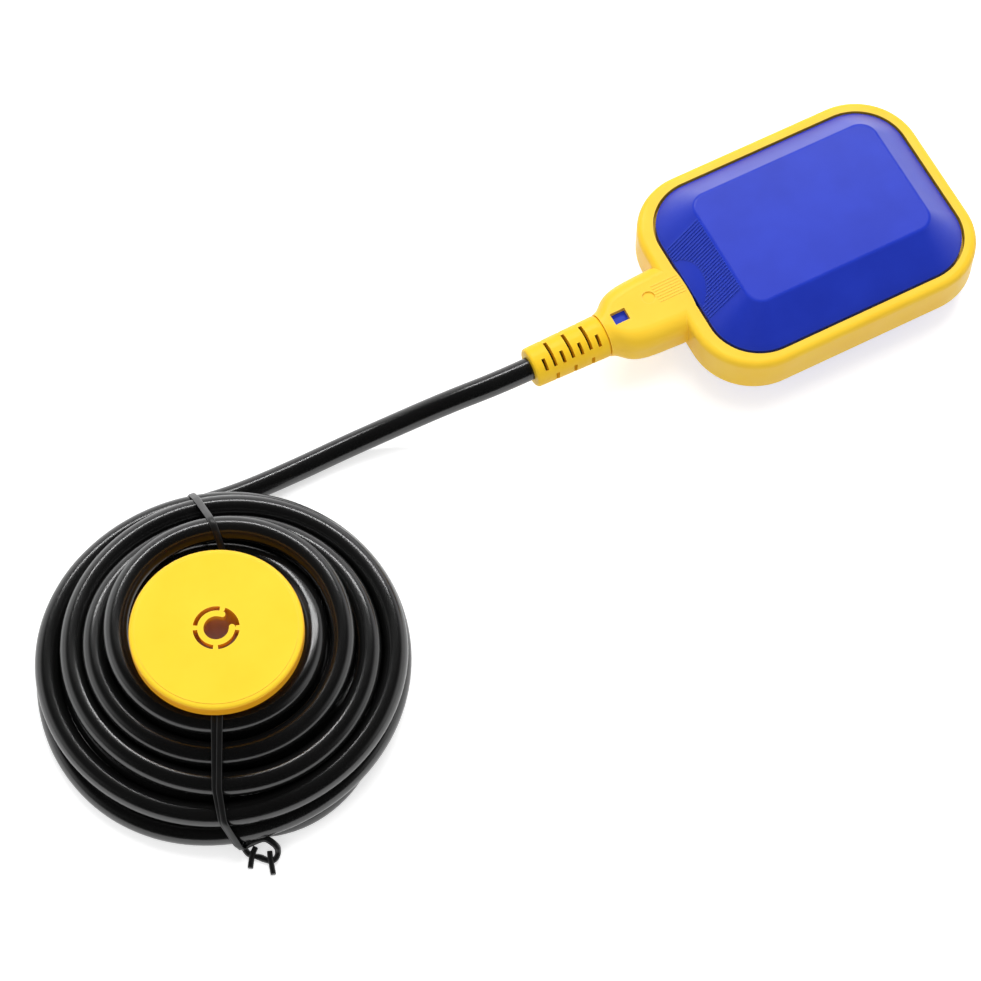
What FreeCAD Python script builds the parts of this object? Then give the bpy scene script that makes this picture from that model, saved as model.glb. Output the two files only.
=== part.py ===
"""Cable float switch: a sealed float with a ball-worked switch, its cable wound on a counterweight."""

import FreeCAD, Part
import math
import os
import re
import Sketcher

V = FreeCAD.Vector
doc = FreeCAD.newDocument("CableFloatSwitch")
sheet = doc.addObject("Spreadsheet::Sheet", "Sizes")

# Driving dimensions, in millimetres and degrees
SIZES = {
    # how far a cut starts outside what it cuts, and how deep a joined piece is rooted
    "overshoot": 1.0,
    "root": 0.5,
    # float housing
    "frame_length": 106.5,
    "frame_width": 81.0,
    "frame_corner": 22.7,
    "frame_edge": 2.4,
    "rim_width": 5.2,
    "neck_rim": 6.7,
    "thickness": 41.0,
    "band_height": 16.0,
    "slope_run": 12.0,
    "plateau_corner": 6.0,
    "plateau_edge": 1.6,
    "shell_wall": 2.4,
    "groove_width": 1.0,
    "groove_depth": 4.5,
    "land_width": 22.0,
    "land_rise": 0.6,
    "flange_width": 2.0,
    "flange_height": 1.5,
    # ribs pressed into the neck-side slope, with a round smooth pad among them
    "rib_pitch": 1.1,
    "rib_width": 0.5,
    "rib_proud": 0.35,
    "rib_field": 31.7,
    "rib_aside": 0.3,
    "rib_foot": 0.6,
    "rib_head": 0.5,
    "rib_root": 1.0,
    "pad_radius": 10.8,
    "pad_drop": 3.2,
    "pad_proud": 0.8,
    # neck
    "neck_length": 25.8,
    "neck_width": 27.6,
    "neck_edge": 5.6,
    "mouth_radius": 7.7,
    "mouth_flat": 0.1,
    "window_length": 5.5,
    "window_width": 4.6,
    "window_from_mouth": 3.9,
    "mark_radius": 2.3,
    "mark_depth": 0.6,
    "mark_from_wall": 7.1,
    "mark_aside": 2.0,
    "ridge_width": 0.4,
    "ridge_proud": 0.15,
    "ridge_end": 0.2,
    # blue neck core, cable seal and sealing resin
    "core_width": 14.0,
    "core_height": 12.0,
    "core_wall": 1.5,
    "core_edge": 3.0,
    "core_end_wall": 2.0,
    "core_inset": 3.2,
    "seal_length": 6.0,
    "resin_length": 16.0,
    # boot
    "boot_length": 27.7,
    "boot_tip_radius": 6.95,
    "boot_root_radius": 7.55,
    "boot_edge": 1.1,
    "boot_spigot_radius": 5.6,
    "slot_pitch": 3.35,
    "slot_width": 1.25,
    "slot_first": 3.9,
    "slot_floor": 1.0,
    "long_slot": 9.0,
    "long_slot_turn": 100.0,
    "side_slot": 6.4,
    "side_slot_floor": 5.2,
    "short_slot": 4.4,
    "short_slot_turn": 124.5,
    # cable
    "cable_radius": 4.0,
    "cable_clearance": 0.1,
    "wire_radius": 1.2,
    "wire_ring": 1.9,
    # cord clamp in the float
    "clamp_start": 2.8,
    "clamp_length": 6.0,
    "clamp_width": 22.0,
    "clamp_height": 3.2,
    "clamp_screw_spread": 15.0,
    "clamp_from_end": 2.0,
    "saddle_shallow": 10.0,
    "saddle_deep": 15.5,
    # switch carrier
    "carrier_start": 20.8,
    "carrier_length": 52.0,
    "carrier_width": 44.0,
    "carrier_plate": 2.2,
    "carrier_top": -5.2,
    "carrier_corner": 3.0,
    "boss_radius": 3.4,
    "boss_hole_depth": 8.0,
    "boss_spread_x": 44.0,
    "boss_spread_y": 38.0,
    "screw_radius": 1.2,
    "screw_clearance": 0.1,
    "screw_head_radius": 2.3,
    "screw_head_height": 1.5,
    "carrier_screw_length": 7.0,
    "clamp_screw_length": 12.0,
    "switch_screw_length": 12.0,
    # microswitch
    "case_start": 4.0,
    "case_depth": 16.0,
    "case_width": 28.0,
    "case_height": 8.6,
    "cover_height": 1.7,
    "case_screw_radius": 1.4,
    "case_screw_aside": 11.1,
    "case_screw_back": 3.2,
    "terminal_width": 4.8,
    "terminal_thickness": 0.8,
    "terminal_length": 7.0,
    "terminal_pitch": 8.8,
    "terminal_eye_radius": 0.8,
    "plunger_radius": 1.1,
    "plunger_proud": 1.42,
    "plunger_seat": 4.0,
    "plunger_stroke": 1.5,
    "plunger_aside": 2.0,
    "running_gap": 0.08,
    "hinge_aside": -11.4,
    "hinge_proud": 1.4,
    "pin_radius": 0.6,
    "pin_length": 8.2,
    "eye_radius": 1.25,
    "ear_thickness": 1.4,
    "ear_width": 3.4,
    "lever_thickness": 0.5,
    "lever_width": 4.6,
    "lever_length": 25.0,
    "lever_free_angle": 6.3,
    # ball and its track
    "ball_radius": 6.35,
    "ball_gap": 0.15,
    "ball_side_gap": 0.3,
    "ball_aside": 7.0,
    "ball_touch": 9.2,
    "ball_travel": 13.0,
    "track_wall": 2.0,
    "track_start": 4.4,
    "track_cover_height": 1.6,
    "track_slit": 3.0,
    "track_room": 0.3,
    "slit_end": 4.0,
    # counterweight
    "weight_x": -218.3,
    "weight_y": -48.9,
    "lid_radius": 28.0,
    "lid_height": 5.0,
    "lid_plate": 3.0,
    "lid_edge": 1.3,
    "lid_skirt": 2.0,
    "lid_lip": 1.6,
    "lid_step": 0.2,
    "lid_step_radius": 26.2,
    "weight_height": 45.0,
    "cup_radius": 21.2,
    "cup_foot_radius": 19.8,
    "cup_wall": 1.8,
    "cup_floor": 2.4,
    "tube_radius": 7.8,
    "tube_wall": 1.5,
    "core_gap": 0.3,
    "ballast_gap": 1.0,
    "grip_root": 0.2,
    "grip_slot_radius": 7.5,
    "grip_ring_radius": 6.05,
    "grip_bore_radius": 4.05,
    "grip_ring_height": 2.4,
    "grip_bridge_angle": 13.5,
    "grip_gap_angle": 66.0,
    "grip_turn": 9.0,
    # coil of cable round the counterweight
    "coil_x": -216.6,
    "coil_y": -45.4,
    "coil_bottom": 1.0,
    "coil_bore": 28.6,
    "coil_outer": 62.0,
    "coil_hill": 38.6,
    "coil_brow": 29.0,
    "coil_round": 4.0,
    "tie_width": 2.6,
    "tie_thickness": 0.7,
    "tie_gap": 0.1,
    "near_tie_angle": 247.0,
    "far_tie_angle": 75.0,
    "tail_core_radius": 1.2,
    "tail_pitch": 2.7,
    "tail_lift": 5.0,
}

# Places worked out from the driving dimensions, in the float's own frame or the housing's
PLACES = {
    "float_length": "frame_length + neck_length + boot_length",
    "far_end": "float_length / 2",
    "frame_wall": "far_end - frame_length",
    "shell_length": "frame_length - rim_width - neck_rim",
    "shell_width": "frame_width - 2 * rim_width",
    "shell_corner": "frame_corner - rim_width",
    "shell_middle": "far_end - rim_width - shell_length / 2",
    "shell_neck_end": "0 - shell_length / 2",
    "mid_height": "thickness / 2",
    "wall_face": "frame_wall - shell_middle",
    "mouth_face": "wall_face - neck_length",
    "boot_face": "mouth_face - boot_length",
    "core_start": "mouth_face + core_inset",
    "core_half_width": "core_width / 2",
    "core_half_height": "core_height / 2",
    "seal_start": "core_start + core_end_wall",
    "resin_start": "seal_start + seal_length",
    "clamp_middle": "shell_neck_end + clamp_start + clamp_length / 2",
    "cable_end": "clamp_middle + clamp_length / 2 + clamp_from_end",
    "carrier_low": "carrier_top - carrier_plate",
    "carrier_x": "shell_neck_end + carrier_start",
    "carrier_middle": "carrier_x + carrier_length / 2",
    "case_x": "carrier_x + case_start",
    "case_face": "case_x + case_depth",
    "case_mid": "carrier_top + case_height / 2",
    "hinge_x": "case_face + hinge_proud",
    "track_x": "case_face + track_start",
    "ball_rest": "case_face + ball_touch + ball_travel",
    "ball_height": "carrier_top + ball_radius + ball_gap",
    "track_top": "carrier_top + 2 * ball_radius + 2 * ball_gap + track_room",
    "track_half": "ball_radius + ball_side_gap",
    "track_end": "ball_rest + ball_radius + ball_gap",
    "lid_bottom": "weight_height - lid_height",
    "plate_bottom": "weight_height - lid_plate",
    "tube_outer": "tube_radius + tube_wall",
    "ballast_inner": "tube_outer + core_gap",
    "ballast_outer": "cup_foot_radius - cup_wall - core_gap",
    "ballast_top": "lid_bottom - ballast_gap",
}


def spelled(text):
    """Spell out every named size and place of an expression for the document."""
    def spell(match):
        word = match.group(0)
        if word in PLACES:
            return "(" + spelled(PLACES[word]) + ")"
        if word in ("sqrt", "cos", "sin"):
            return word
        return "Sizes." + word
    return re.sub(r"[A-Za-z_]\w*", spell, text)


def value(text):
    """Give the present value of an expression."""
    return float(sheet.evalExpression(spelled(text)))


def bind(thing, path, text):
    thing.setExpression(path, spelled(text))


def fill_sheet():
    for row, (alias, number) in enumerate(SIZES.items(), start=1):
        sheet.set(f"A{row}", alias.replace("_", " "))
        sheet.set(f"B{row}", str(number))
        sheet.setAlias(f"B{row}", alias)
    doc.recompute()


def move_to(thing, x="0", y="0", z="0"):
    for axis, text in zip("xyz", (x, y, z)):
        bind(thing, f"Placement.Base.{axis}", text)


def new_body(label, x="0", y="0", z="0"):
    body = doc.addObject("PartDesign::Body", label)
    body.Label = label
    move_to(body, x, y, z)
    return body


def housing_body(label):
    """A body whose own origin is the middle of the float's shells."""
    return new_body(label, "shell_middle", "0", "mid_height")


def attach(feature, body, role, lift="0", across="0", up="0"):
    """Lay a sketch or primitive on one of its body's own origin planes, lifted off it."""
    plane = [p for p in body.Origin.OriginFeatures if p.Role == role][0]
    feature.AttachmentSupport = (plane, "")
    feature.MapMode = "FlatFace"
    bind(feature, "AttachmentOffset.Base.x", across)
    bind(feature, "AttachmentOffset.Base.y", up)
    bind(feature, "AttachmentOffset.Base.z", lift)


def new_sketch(body, name, role, lift="0"):
    sketch = body.newObject("Sketcher::SketchObject", name)
    attach(sketch, body, role, lift)
    return sketch


def hold(sketch, kind, where, name, text):
    """Add one dimension to a sketch, bound to its expression."""
    index = sketch.addConstraint(Sketcher.Constraint(kind, *where, value(text)))
    sketch.renameConstraint(index, name)
    bind(sketch, f"Constraints.{name}", text)


def outline(sketch, points, name=""):
    """Draw a closed outline of straight edges through corners given as expressions."""
    numbers = [V(value(x), value(y), 0) for x, y in points]
    ends = numbers[1:] + numbers[:1]
    lines = [sketch.addGeometry(Part.LineSegment(a, b)) for a, b in zip(numbers, ends)]
    for i, line in enumerate(lines):
        sketch.addConstraint(Sketcher.Constraint("Coincident", line, 2, lines[(i + 1) % len(lines)], 1))
    for i, (line, (x, y)) in enumerate(zip(lines, points)):
        hold(sketch, "DistanceX", (-1, 1, line, 1), f"{name}across{i}", x)
        hold(sketch, "DistanceY", (-1, 1, line, 1), f"{name}along{i}", y)


def rounded_rectangle(sketch, low, high, half_width, corner):
    """Draw a rectangle with round corners, even about the sketch's own middle line."""
    x0, x1, w, r = value(low), value(high), value(half_width), value(corner)
    lines = [((x0 + r, -w), (x1 - r, -w)), ((x1, r - w), (x1, w - r)),
             ((x1 - r, w), (x0 + r, w)), ((x0, w - r), (x0, r - w))]
    middles = [(x1 - r, r - w), (x1 - r, w - r), (x0 + r, w - r), (x0 + r, r - w)]
    for (a, b), middle, start in zip(lines, middles, (-90, 0, 90, 180)):
        sketch.addGeometry(Part.LineSegment(V(*a, 0), V(*b, 0)))
        circle = Part.Circle(V(*middle, 0), V(0, 0, 1), r)
        sketch.addGeometry(Part.ArcOfCircle(circle, math.radians(start), math.radians(start + 90)))
    for line, kind in ((0, "Horizontal"), (2, "Vertical"), (4, "Horizontal"), (6, "Vertical")):
        sketch.addConstraint(Sketcher.Constraint(kind, line))
        sketch.addConstraint(Sketcher.Constraint("Tangent", line, 2, line + 1, 1))
        sketch.addConstraint(Sketcher.Constraint("Tangent", line + 1, 2, (line + 2) % 8, 1))
    for arc in (3, 5, 7):
        sketch.addConstraint(Sketcher.Constraint("Equal", 1, arc))
    hold(sketch, "Radius", (1,), "corner", corner)
    hold(sketch, "DistanceX", (-1, 1, 6, 1), "low", low)
    hold(sketch, "DistanceX", (-1, 1, 2, 1), "high", high)
    hold(sketch, "DistanceY", (-1, 1, 4, 1), "top", half_width)
    hold(sketch, "DistanceY", (-1, 1, 0, 1), "bottom", f"0 - ({half_width})")


def plate_sketch(body, name, lift, low, high, half_width, corner):
    sketch = new_sketch(body, name, "XY_Plane", lift)
    rounded_rectangle(sketch, low, high, half_width, corner)
    return sketch


def shell_sketch(body, name, lift, inset="0", corner="shell_corner"):
    """The outline of the shells, drawn in by an inset."""
    half = f"shell_length / 2 - ({inset})"
    width = f"shell_width / 2 - ({inset})"
    return plate_sketch(body, name, lift, f"0 - ({half})", half, width, corner)


def pad(body, sketch, length, name):
    feature = body.newObject("PartDesign::Pad", name)
    feature.Profile = sketch
    bind(feature, "Length", length)
    return feature


def pocket(body, sketch, length, name, upward=True):
    """Cut a sketch's outline away, upward from its plane or down from it."""
    feature = body.newObject("PartDesign::Pocket", name)
    feature.Profile = sketch
    feature.Reversed = upward
    bind(feature, "Length", length)
    return feature


def loft(body, kind, sketches, name):
    feature = body.newObject("PartDesign::" + kind, name)
    feature.Profile = sketches[0]
    feature.Sections = sketches[1:]
    feature.Ruled = True
    return feature


def spin(body, kind, sketch, name, axis="V_Axis"):
    feature = body.newObject("PartDesign::" + kind, name)
    feature.Profile = sketch
    feature.ReferenceAxis = (sketch, [axis])
    feature.Angle = 360
    return feature


def block(body, name, low, high, cut=False):
    """Add or cut a box between two corners."""
    feature = body.newObject("PartDesign::SubtractiveBox" if cut else "PartDesign::AdditiveBox", name)
    attach(feature, body, "XY_Plane", low[2], low[0], low[1])
    for side, a, b in zip(("Length", "Width", "Height"), low, high):
        bind(feature, side, f"{b} - ({a})")
    return feature


def rod(body, name, role, start, length, radius, across="0", up="0", cut=False):
    """Add or cut a cylinder square to an origin plane."""
    kind = "SubtractiveCylinder" if cut else "AdditiveCylinder"
    feature = body.newObject("PartDesign::" + kind, name)
    attach(feature, body, role, start, across, up)
    bind(feature, "Radius", radius)
    bind(feature, "Height", length)
    return feature


def soften(body, base, test, radius, name, kind="Fillet"):
    """Round or chamfer the edges of the last feature that pass a test."""
    doc.recompute()
    names = [f"Edge{i}" for i, edge in enumerate(base.Shape.Edges, start=1) if test(edge)]
    if not names:
        raise RuntimeError(f"no edge found for {name}")
    feature = body.newObject("PartDesign::" + kind, name)
    feature.Base = (base, names)
    bind(feature, "Radius" if kind == "Fillet" else "Size", radius)
    return feature


def near(a, b):
    return abs(a - b) < 0.01


def level(edge, height):
    """Say whether an edge lies flat at a height."""
    box = edge.BoundBox
    return near(box.ZMin, height) and near(box.ZMax, height)


def upright(edge):
    box = edge.BoundBox
    return box.ZLength > 0.05 and near(box.XLength, 0) and near(box.YLength, 0)


def along_x(edge):
    box = edge.BoundBox
    return box.XLength > 0.05 and near(box.YLength, 0) and near(box.ZLength, 0)


def shell_half(label):
    """One dished half of the blue shell: wall, slopes, plateau, weld flange and half of the neck core."""
    body = new_body(label)
    pad(body, shell_sketch(body, label + "_wall_outline", "0"), "band_height / 2", label + "_wall")
    loft(body, "AdditiveLoft", [
        shell_sketch(body, label + "_slope_foot", "band_height / 2"),
        shell_sketch(body, label + "_plateau", "mid_height", "slope_run", "plateau_corner")],
                     label + "_dome")
    flange = shell_sketch(body, label + "_flange_outline", "0", "0 - flange_width",
                          "shell_corner + flange_width")
    pad(body, flange, "flange_height", label + "_flange")
    block(body, label + "_neck_core", ("core_start", "0 - core_half_width", "0"),
          ("shell_neck_end + overshoot", "core_half_width", "core_half_height"))
    base = body.Tip
    top = value("mid_height")
    base = soften(body, base, lambda e: level(e, top), "plateau_edge", label + "_plateau_round")
    cap = value("core_half_height")
    base = soften(body, base, lambda e: along_x(e) and level(e, cap), "core_edge", label + "_core_round")
    cavity_corner = "shell_corner - shell_wall"
    pocket(body, shell_sketch(body, label + "_cavity_outline", "0", "shell_wall", cavity_corner),
           "band_height / 2", label + "_cavity")
    loft(body, "SubtractiveLoft", [
        shell_sketch(body, label + "_cavity_foot", "band_height / 2", "shell_wall", cavity_corner),
        shell_sketch(body, label + "_cavity_roof", "mid_height - shell_wall", "slope_run + shell_wall",
                     "plateau_corner - shell_wall")], label + "_cavity_dome")
    block(body, label + "_neck_bore", ("seal_start", "core_wall - core_half_width", "0"),
          ("shell_neck_end + shell_wall + overshoot", "core_half_width - core_wall",
           "core_half_height - core_wall"), cut=True)
    rod(body, label + "_cable_hole", "YZ_Plane", "core_start - overshoot", "core_end_wall + 2 * overshoot",
        "cable_radius + cable_clearance", cut=True)
    return body


# The neck-side slope: how far it rises, and its length up the face
RISE = "(mid_height - band_height / 2)"
FACE = f"sqrt(slope_run ^ 2 + {RISE} ^ 2)"


def lay_on_slope(thing, along, across, lift):
    """Set a solid on the neck-side slope, its x axis up the slope and its z axis out of it."""
    tilt = -math.degrees(math.atan2(value(RISE), value("slope_run")))
    thing.Placement.Rotation = FreeCAD.Rotation(V(0, 1, 0), tilt)
    move_to(thing, f"shell_neck_end + (({along}) * slope_run - ({lift}) * {RISE}) / {FACE}", across,
            f"band_height / 2 + (({along}) * {RISE} + ({lift}) * slope_run) / {FACE}")


def slope_slab(name, width, across, proud):
    """A strip up the whole slope, rooted in the wall and standing proud of it."""
    slab = doc.addObject("Part::Box", name)
    bind(slab, "Length", f"{FACE} - rib_foot - rib_head")
    bind(slab, "Width", width)
    bind(slab, "Height", f"{proud} + rib_root")
    lay_on_slope(slab, "rib_foot", across, "0 - rib_root")
    return slab


def grip_ribs(label):
    """Fine ribs up the neck-side slope, left out over a round smooth pad."""
    count = int(value("rib_field / rib_pitch"))
    ribs = []
    for i in range(count):
        across = f"rib_aside + ({i} - ({count} - 1) / 2) * rib_pitch - rib_width / 2"
        ribs.append(slope_slab(f"{label}_rib{i}", "rib_width", across, "rib_proud"))
    field = doc.addObject("Part::Compound", label + "_rib_field")
    field.Links = ribs
    bounds = doc.addObject("Part::Cylinder", label + "_pad_bounds")
    bind(bounds, "Radius", "pad_radius")
    bind(bounds, "Height", "4 * rib_root")
    lay_on_slope(bounds, "0 - pad_drop", "0", "0 - 2 * rib_root")
    trimmed = doc.addObject("Part::Cut", label + "_ribs")
    trimmed.Base = field
    trimmed.Tool = bounds
    return trimmed


def smooth_pad(label):
    """The low round swelling at the foot of the slope, over the neck core."""
    ball = doc.addObject("Part::Sphere", label + "_pad_ball")
    radius = "(pad_radius ^ 2 + pad_proud ^ 2) / (2 * pad_proud)"
    bind(ball, "Radius", radius)
    lay_on_slope(ball, "0 - pad_drop", "0", f"pad_proud - {radius}")
    slab = slope_slab(label + "_pad_slab", "2 * pad_radius", "0 - pad_radius", "pad_proud")
    cap = doc.addObject("Part::Common", label + "_pad")
    cap.Base = slab
    cap.Tool = ball
    return cap


def finished_shell(label, body, turned):
    """Join a shell half with its ribs and pad, and set it in the float."""
    shell = doc.addObject("Part::MultiFuse", label)
    shell.Shapes = [body, grip_ribs(label), smooth_pad(label)]
    shell.Label = label
    shell.Placement.Rotation = FreeCAD.Rotation(V(1, 0, 0), 180 if turned else 0)
    move_to(shell, "shell_middle", "0", "mid_height")
    return shell


def upper_shell():
    return finished_shell("upper_shell", shell_half("upper_half"), False)


def lower_shell():
    """The lower half, turned over, with screw bosses for the carrier and a saddle for the cord."""
    body = shell_half("lower_half")
    floor = "mid_height - shell_wall + root"
    for i, (sx, sy) in enumerate(((-1, -1), (-1, 1), (1, -1), (1, 1))):
        across = f"carrier_middle + ({sx}) * boss_spread_x / 2"
        up = f"({sy}) * boss_spread_y / 2"
        rod(body, f"carrier_boss{i}", "XY_Plane", "0 - carrier_low", f"{floor} + carrier_low",
            "boss_radius", across, up)
        rod(body, f"carrier_boss_hole{i}", "XY_Plane", "0 - carrier_low - overshoot", "boss_hole_depth",
            "screw_radius + screw_clearance", across, up, cut=True)
    saddle = new_sketch(body, "cord_saddle_side", "XZ_Plane")
    low, high = "clamp_middle - clamp_length / 2", "clamp_middle + clamp_length / 2"
    outline(saddle, [(low, "0"), (high, "0"), (high, "saddle_deep"), (low, "saddle_shallow")])
    pad(body, saddle, "clamp_width", "cord_saddle").Midplane = True
    rod(body, "cord_seat", "YZ_Plane", "clamp_middle - clamp_length / 2 - overshoot",
        "clamp_length + 2 * overshoot",
        "cable_radius", cut=True)
    for i, side in enumerate((-1, 1)):
        rod(body, f"clamp_boss_hole{i}", "XY_Plane", "0 - overshoot", "boss_hole_depth",
            "screw_radius + screw_clearance",
            "clamp_middle", f"({side}) * clamp_screw_spread / 2", cut=True)
    return finished_shell("lower_shell", body, True)


# How the neck swells from its mouth to the frame: distance along, and share of the full swell
NECK_SWELL = (("0", 0.0), ("1.5", 0.08), ("3.7", 0.35), ("6", 0.61), ("8", 0.74), ("10", 0.82),
              ("12.5", 0.88), ("17", 0.93), ("21.5", 0.96), ("neck_length", 0.98),
              ("neck_length + frame_edge + overshoot", 1.0))


def outer_frame():
    """The yellow band moulded round both shells, with the neck that grips the boot."""
    body = housing_body("outer_frame")
    band = plate_sketch(body, "band_outline", "0 - band_height / 2", "wall_face",
                        "shell_length / 2 + rim_width", "frame_width / 2", "frame_corner")
    base = pad(body, band, "band_height", "band")
    half = value("band_height / 2")
    base = soften(body, base, lambda e: level(e, half) or level(e, -half), "frame_edge", "band_edges")
    stations = []
    for i, (along, share) in enumerate(NECK_SWELL):
        sketch = new_sketch(body, f"neck_section{i}", "YZ_Plane", f"mouth_face + ({along})")
        half = f"(mouth_radius + {share} * (neck_width / 2 - mouth_radius))"
        rise = f"(mouth_radius + {share} * (band_height / 2 - mouth_radius))"
        corner = f"mouth_radius - mouth_flat - {share} * (mouth_radius - mouth_flat - neck_edge)"
        rounded_rectangle(sketch, f"0 - {half}", half, rise, corner)
        stations.append(sketch)
    neck = loft(body, "AdditiveLoft", stations, "neck")
    neck.Ruled = False
    pocket(body, shell_sketch(body, "shell_seat_outline", "0 - band_height / 2 - overshoot"),
           "band_height + 2 * overshoot",
           "shell_seat")
    pocket(body, shell_sketch(body, "flange_seat_outline", "0 - flange_height", "0 - flange_width",
                              "shell_corner + flange_width"), "2 * flange_height", "flange_seat")
    core = block(body, "core_seat", ("core_start", "0 - core_half_width", "0 - core_half_height"),
                 ("shell_neck_end + overshoot", "core_half_width", "core_half_height"), cut=True)
    doc.recompute()
    cap, core_x = value("core_half_height"), value("core_start")

    def seat_corner(edge):
        box = edge.BoundBox
        return along_x(edge) and near(abs(box.ZMin), cap) and near(box.XMin, core_x)
    soften(body, core, seat_corner, "core_edge", "core_seat_round")
    for name, lift, land_lift in (("top", "band_height / 2 - groove_depth", "core_half_height"),
                                  ("bottom", "0 - band_height / 2", "0 - band_height / 2")):
        pocket(body, shell_sketch(body, name + "_groove_outline", lift, "0 - groove_width",
                                  "shell_corner + groove_width"), "groove_depth", name + "_groove")
        neck_land(body, name + "_land", land_lift)
    rod(body, "spigot_seat", "YZ_Plane", "mouth_face - overshoot", "core_inset + overshoot + root",
        "boot_spigot_radius", cut=True)
    block(body, "window",
          ("mouth_face + window_from_mouth", "0 - window_width / 2", "core_half_height - overshoot"),
          ("mouth_face + window_from_mouth + window_length", "window_width / 2",
          "band_height / 2 + overshoot"), cut=True)
    rod(body, "mark", "XY_Plane", "band_height / 2 - mark_depth", "mark_depth + overshoot", "mark_radius",
        "wall_face - mark_from_wall", "mark_aside", cut=True)
    for i in range(-3, 4):
        middle = f"mark_aside + ({i}) * rib_pitch"
        block(body, f"ridge{i + 3}", ("wall_face - mark_from_wall + mark_radius + ridge_end",
                                      f"{middle} - ridge_width / 2", "band_height / 2 - root"),
              ("shell_neck_end - groove_width - ridge_end", f"{middle} + ridge_width / 2",
               "band_height / 2 + ridge_proud"))
    return body


def neck_land(body, name, lift):
    """The slight swell of the frame's inner edge that narrows the groove at the neck."""
    sketch = new_sketch(body, name + "_outline", "XY_Plane", lift)
    foot, half, rise = "shell_neck_end - groove_width - root", "land_width / 2", "land_rise + root"
    x, y, top = value(foot), value(half), value(f"{foot} + {rise}")
    chord = sketch.addGeometry(Part.LineSegment(V(x, y, 0), V(x, -y, 0)))
    swell = sketch.addGeometry(Part.Arc(V(x, -y, 0), V(top, 0, 0), V(x, y, 0)))
    sketch.addConstraint(Sketcher.Constraint("Coincident", chord, 2, swell, 1))
    sketch.addConstraint(Sketcher.Constraint("Coincident", chord, 1, swell, 2))
    for end_point, side in ((1, "1"), (2, "(0 - 1)")):
        hold(sketch, "DistanceX", (-1, 1, chord, end_point), f"foot{end_point}", foot)
        hold(sketch, "DistanceY", (-1, 1, chord, end_point), f"aside{end_point}", f"{side} * {half}")
    hold(sketch, "Radius", (swell,), "swell", f"(({half}) ^ 2 + ({rise}) ^ 2) / (2 * ({rise}))")
    pad(body, sketch, "band_height / 2 - core_half_height", name)


# Rows of slots along the boot
SLOT_ROWS = 7


def cable_boot():
    """The soft slotted sleeve that keeps the cable from kinking at the neck."""
    body = housing_body("cable_boot")
    sleeve = new_sketch(body, "boot_section", "XZ_Plane")
    bore = "cable_radius + cable_clearance"
    outline(sleeve, [
        ("boot_face", bore), ("core_start", bore), ("core_start", "boot_spigot_radius"),
        ("mouth_face", "boot_spigot_radius"), ("mouth_face", "boot_root_radius"),
        ("boot_face", "boot_tip_radius")])
    base = spin(body, "Revolution", sleeve, "sleeve", "H_Axis")
    doc.recompute()
    face, mouth = value("boot_face"), value("mouth_face")
    tip, root = value("boot_tip_radius"), value("boot_root_radius")

    def rim(edge):
        box = edge.BoundBox
        return near(box.XLength, 0) and (near(box.XMin, face) and near(box.ZMax, tip)
                                         or near(box.XMin, mouth) and near(box.ZMax, root))
    soften(body, base, rim, "boot_edge", "boot_rims")
    for i in range(SLOT_ROWS):
        start = f"boot_face + slot_first + {i} * slot_pitch - slot_width / 2"
        sketch = new_sketch(body, f"slot_outline{i}", "YZ_Plane", start)
        if i % 2 == 1:
            for side in (0, 180):
                boot_slot(sketch, f"long{side}", f"long_slot_turn + {side}", "long_slot", "slot_floor")
                boot_slot(sketch, f"side{side}", f"long_slot_turn + {side + 90}", "side_slot",
                          "side_slot_floor")
        else:
            for side in (0, 180):
                boot_slot(sketch, f"short{side}", f"short_slot_turn + {side}", "short_slot", "slot_floor")
        pocket(body, sketch, "slot_width", f"slots{i}")
    return body


def boot_slot(sketch, name, turn, length, floor):
    """Draw one straight-sided slot that opens outward in a direction."""
    corners = []
    for out, side in ((floor, "1"), ("boot_root_radius + overshoot", "1"),
                      ("boot_root_radius + overshoot", "(0 - 1)"),
                      (floor, "(0 - 1)")):
        aside = f"{side} * {length} / 2"
        corners.append((f"({out}) * cos({turn}) + {aside} * sin({turn})",
                        f"({out}) * sin({turn}) - {aside} * cos({turn})"))
    outline(sketch, corners, name)


def ring_sector(sketch, name, start, end, inner, outer):
    """Draw one ring sector round the sketch's origin between two directions."""
    r0, r1 = value(inner), value(outer)
    a, b = math.radians(value(start)), math.radians(value(end))
    rays = [V(math.cos(t), math.sin(t), 0) for t in (a, b)]
    first = sketch.GeometryCount
    for radius in (r0, r1):
        sketch.addGeometry(Part.ArcOfCircle(Part.Circle(V(0, 0, 0), V(0, 0, 1), radius), a, b))
    for ray in rays:
        sketch.addGeometry(Part.LineSegment(ray * r0, ray * r1))
    for arc, text in ((first, inner), (first + 1, outer)):
        sketch.addConstraint(Sketcher.Constraint("Coincident", arc, 3, -1, 1))
        for end_point in (1, 2):
            sketch.addConstraint(Sketcher.Constraint("Coincident", arc, end_point, first + 1 + end_point,
                                                     1 + arc - first))
        hold(sketch, "Radius", (arc,), f"{name}_radius{arc - first}", text)
    for line in (first + 2, first + 3):
        sketch.addConstraint(Sketcher.Constraint("PointOnObject", -1, 1, line))


def cable_seal():
    """The rubber block that seals the cable in the neck core."""
    body = housing_body("cable_seal")
    fill_core(body, "seal", "seal_start", "seal_length")
    return body


def sealing_resin():
    """The resin poured in behind the seal."""
    body = housing_body("sealing_resin")
    fill_core(body, "resin", "resin_start", "resin_length")
    return body


def fill_core(body, name, start, length):
    wide = "core_half_width - core_wall"
    high = "core_half_height - core_wall"
    block(body, name, (start, f"0 - ({wide})", f"0 - ({high})"), (f"{start} + {length}", wide, high))
    rod(body, name + "_bore", "YZ_Plane", f"{start} - overshoot", f"{length} + 2 * overshoot",
        "cable_radius", cut=True)


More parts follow.
